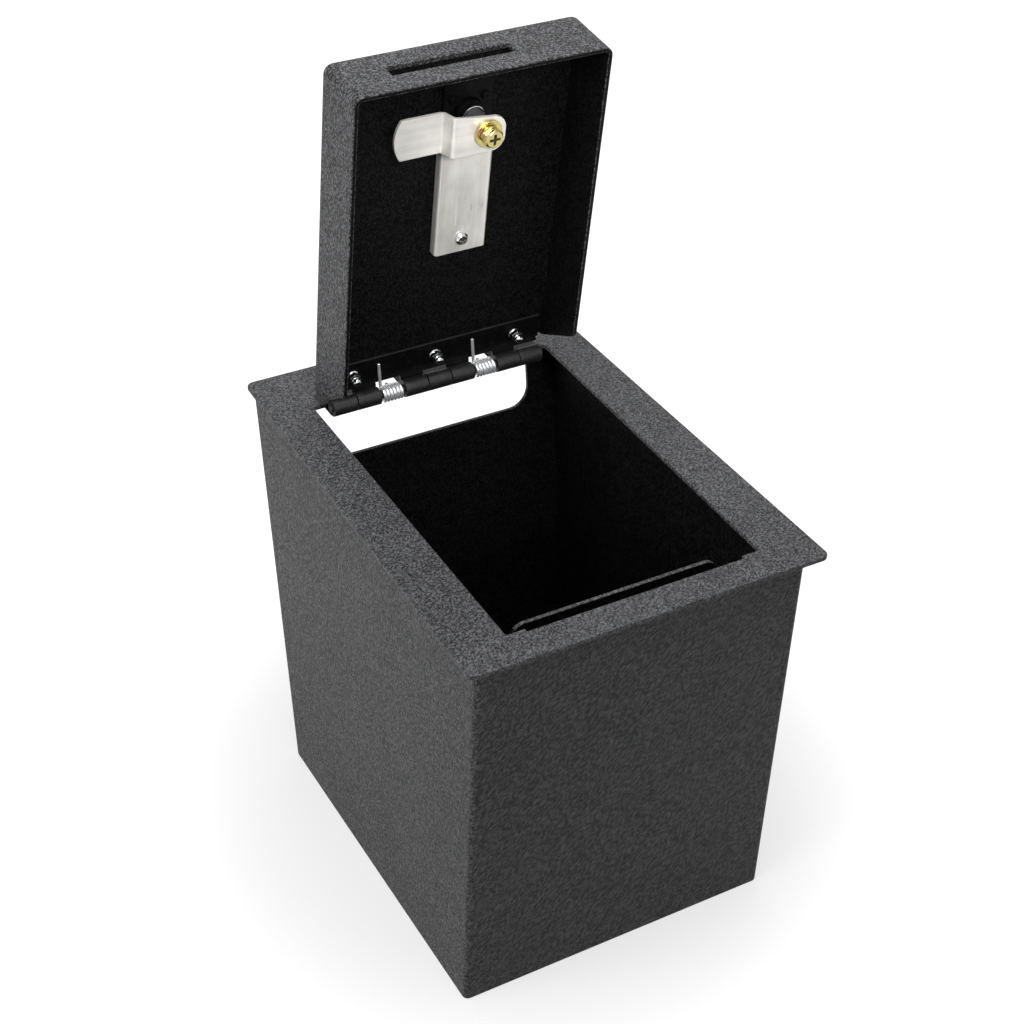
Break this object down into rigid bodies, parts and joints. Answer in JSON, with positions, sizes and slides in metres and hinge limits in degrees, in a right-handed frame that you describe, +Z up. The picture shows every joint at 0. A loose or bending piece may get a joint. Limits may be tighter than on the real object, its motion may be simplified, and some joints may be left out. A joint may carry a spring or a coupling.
{
  "type": "console safe",
  "caption": "Open-topped steel security box with a flat mounting rim, a sprung hinged lid pan, and a key lock whose bent cam swings out through a slot in the lid's skirt.",
  "frame": {"origin": "middle of the base, on the surface that the safe stands on", "axes": "+Z up, -Y towards the front, where the lid's lock is when shut, +X to the right seen from the front; the hinge axis runs along X at the rear; the lid is open at rest"},
  "size_m": [0.2158, 0.286, 0.4677],
  "materials": {
    "textured_black": "wrinkled matt black powder coat",
    "hinge_black": "smooth satin black",
    "stainless": "brushed stainless steel",
    "bright_zinc": "bright zinc plated",
    "yellow_zinc": "yellow passivated zinc"
  },
  "bodies": {
    "safe_body": {"body_wrap": "textured_black", "rear_wall": "textured_black", "floor_plate": "textured_black", "rim_frame": "textured_black", "skirt_channel": "textured_black", "hinge_body_leaf": "hinge_black", "hinge_pin": "hinge_black", "body_stud_left": "bright_zinc", "body_stud_middle": "bright_zinc", "body_stud_right": "bright_zinc", "body_nut_left": "bright_zinc", "body_nut_middle": "bright_zinc", "body_nut_right": "bright_zinc", "torsion_spring_left": "bright_zinc", "torsion_spring_right": "bright_zinc"},
    "lid": {"lid_pan": "textured_black", "hinge_lid_leaf": "hinge_black", "lid_stud_left": "bright_zinc", "lid_stud_middle": "bright_zinc", "lid_stud_right": "bright_zinc", "lid_nut_left": "bright_zinc", "lid_nut_middle": "bright_zinc", "lid_nut_right": "bright_zinc", "lock_body": "bright_zinc", "lock_plate": "hinge_black", "lock_plate_screw_left": "hinge_black", "lock_plate_screw_right": "hinge_black", "cam_guard": "stainless", "guard_screw": "bright_zinc"},
    "lock_core": {"lock_plug": "bright_zinc", "lock_cam": "stainless", "cam_flat_washer": "yellow_zinc", "cam_spring_washer": "yellow_zinc", "cam_screw": "yellow_zinc"}
  },
  "joints": [
    {"name": "lid_hinge", "type": "hinge", "parent": "safe_body", "child": "lid", "pos_m": [0, 0.0965, 0.25095], "axis": [1, 0, 0], "range_deg": [0, 84.5], "stiffness_Nm_per_rad": 1, "springref_deg": -17.19, "deforming": ["torsion_spring_left", "torsion_spring_right"]},
    {"name": "key_turn", "type": "hinge", "parent": "lid", "child": "lock_core", "pos_m": [0.009, 0.09022, 0.42515], "axis": [0, 0.9954, 0.0958], "range_deg": [0, 90]}
  ]
}
